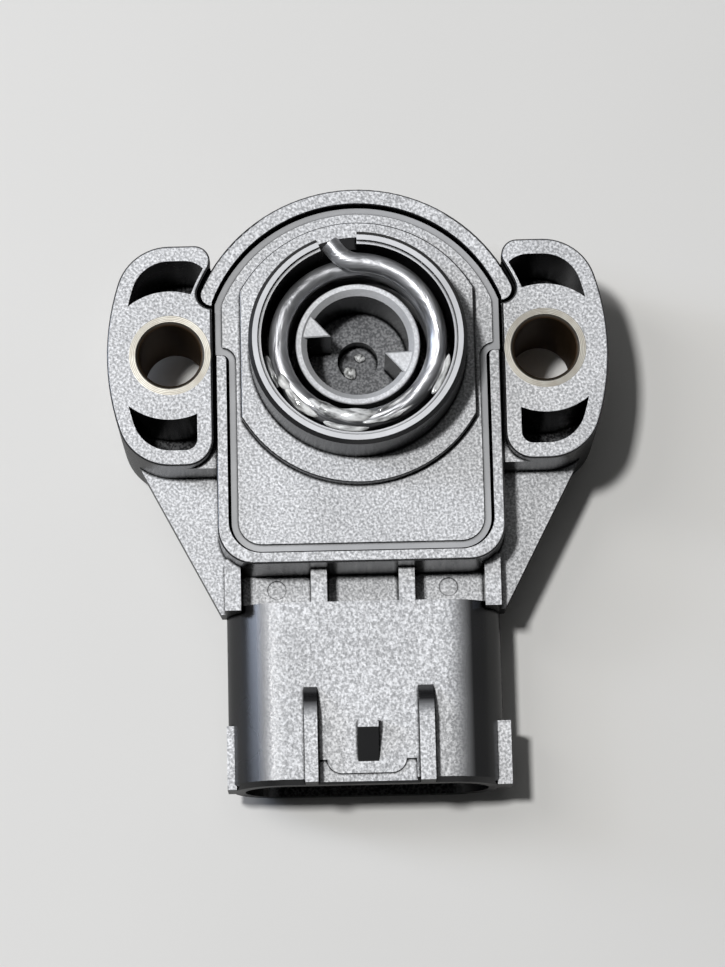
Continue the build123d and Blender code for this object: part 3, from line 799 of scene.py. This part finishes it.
class SENSOR_OT_set_stage(bpy.types.Operator):
    """Set the floor, the lamps and the camera"""

    bl_idname = "sensor.set_stage"
    bl_label = "Set stage"

    def execute(self, context):
        stage = settings().stage
        scene = context.scene
        scene.view_settings.view_transform = "Standard"
        self.add_floor(stage)
        for name, place, size, power, colour in LAMPS:
            self.add_lamp(name, place, size, getattr(stage, power), colour)
        self.add_room(scene, stage)
        self.add_camera(scene, stage)
        return {"FINISHED"}

    def add_floor(self, stage):
        """A plain floor under the sensor's back."""
        shape = bmesh.new()
        bmesh.ops.create_grid(shape, x_segments=1, y_segments=1, size=stage.floor_width / 2)
        bmesh.ops.translate(shape, verts=shape.verts, vec=(0, 0, CAD_BOX[0].z))
        floor = new_piece("floor", shape, pale_floor())

    def add_lamp(self, name, place, size, power, colour):
        """A softbox of some width and height that looks at the sensor."""
        light = bpy.data.lights.new(name, "AREA")
        light.shape = "RECTANGLE"
        light.size, light.size_y = size
        light.energy = power
        light.color = linear(colour)[:3]
        lamp = bpy.data.objects.new(name, light)
        lamp.location = place
        lamp.rotation_euler = (-Vector(place)).to_track_quat("-Z", "Y").to_euler()
        bpy.context.scene.collection.objects.link(lamp)

    def add_room(self, scene, stage):
        """Even light from all round, seen and mirrored as a pale backdrop."""
        world = bpy.data.worlds.new("studio_room")
        world.use_nodes = True
        world.node_tree.nodes.clear()
        ray = add_node(world.node_tree, "ShaderNodeLightPath")
        seen = add_node(world.node_tree, "ShaderNodeMath", {
            0: ray.outputs["Is Camera Ray"], 1: stage.backdrop_level, 2: stage.room_level},
            operation="MULTIPLY_ADD")
        level = add_node(world.node_tree, "ShaderNodeMath", {
            0: ray.outputs["Is Glossy Ray"], 1: stage.mirrored_level, 2: seen.outputs[0]},
            operation="MULTIPLY_ADD")
        light = add_node(world.node_tree, "ShaderNodeBackground", {
            "Color": linear(ROOM_COLOUR), "Strength": level.outputs[0]})
        add_node(world.node_tree, "ShaderNodeOutputWorld", {"Surface": light.outputs[0]})
        scene.world = world

    def add_camera(self, scene, stage):
        """The camera at the photograph's angle, with its lens set for a tall image."""
        lens = bpy.data.cameras.new("photo_camera")
        lens.sensor_width = SENSOR_WIDTH_MM
        lens.lens = stage.focal_px / max(IMAGE_WIDTH, IMAGE_HEIGHT) * SENSOR_WIDTH_MM
        lens.clip_start = CLIP_START
        camera = bpy.data.objects.new("photo_camera", lens)
        turn = (Matrix.Rotation(stage.camera_yaw, 4, "Z") @ Matrix.Rotation(stage.camera_tilt, 4, "X")
                @ Matrix.Rotation(stage.camera_roll, 4, "Z"))
        camera.matrix_world = Matrix.Translation(stage.camera_place) @ turn
        scene.collection.objects.link(camera)
        scene.camera = camera


class SensorFinish(bpy.types.PropertyGroup):
    """All that a user would change."""

    colours: PointerProperty(name="Colours", description="Colours of the materials", type=SensorColours)
    textures: PointerProperty(
        name="Textures", description="Sizes of the surface patterns", type=SensorTextures)
    grease: PointerProperty(name="Grease", description="Shape of the grease beads", type=SensorGrease)
    spring: PointerProperty(name="Spring", description="How the return spring winds up", type=SensorSpring)
    stage: PointerProperty(name="Stage", description="Camera, lamps and floor", type=SensorStage)


STEPS = (
    SENSOR_OT_finish_housing,
    SENSOR_OT_finish_cover,
    SENSOR_OT_finish_sleeves,
    SENSOR_OT_finish_rotor,
    SENSOR_OT_finish_spring,
    SENSOR_OT_add_grease,
    SENSOR_OT_finish_board,
    SENSOR_OT_finish_contacts,
    SENSOR_OT_set_stage,
)


class SENSOR_PT_finish(bpy.types.Panel):
    """The sensor's finishing steps and their settings"""

    bl_idname = "SENSOR_PT_finish"
    bl_label = "Throttle position sensor"
    bl_space_type = "VIEW_3D"
    bl_region_type = "UI"
    bl_category = "Sensor"

    def draw(self, context):
        for step in STEPS:
            self.layout.operator(step.bl_idname)
        finish = settings()
        for group in (finish.colours, finish.textures, finish.grease, finish.spring, finish.stage):
            box = self.layout.box()
            for name in group.bl_rna.properties.keys():
                if name not in ("rna_type", "name"):
                    box.prop(group, name)


GROUPS = (SensorColours, SensorTextures, SensorGrease, SensorSpring, SensorStage, SensorFinish)
CLASSES = GROUPS + STEPS + (SENSOR_PT_finish,)


def register():
    for cls in CLASSES:
        bpy.utils.register_class(cls)
    bpy.types.Scene.sensor_finish = PointerProperty(type=SensorFinish)


def unregister():
    del bpy.types.Scene.sensor_finish
    for cls in reversed(CLASSES):
        bpy.utils.unregister_class(cls)


def main():
    register()
    for step in STEPS:
        group, name = step.bl_idname.split(".")
        getattr(getattr(bpy.ops, group), name)()


if __name__ == "__main__":
    main()
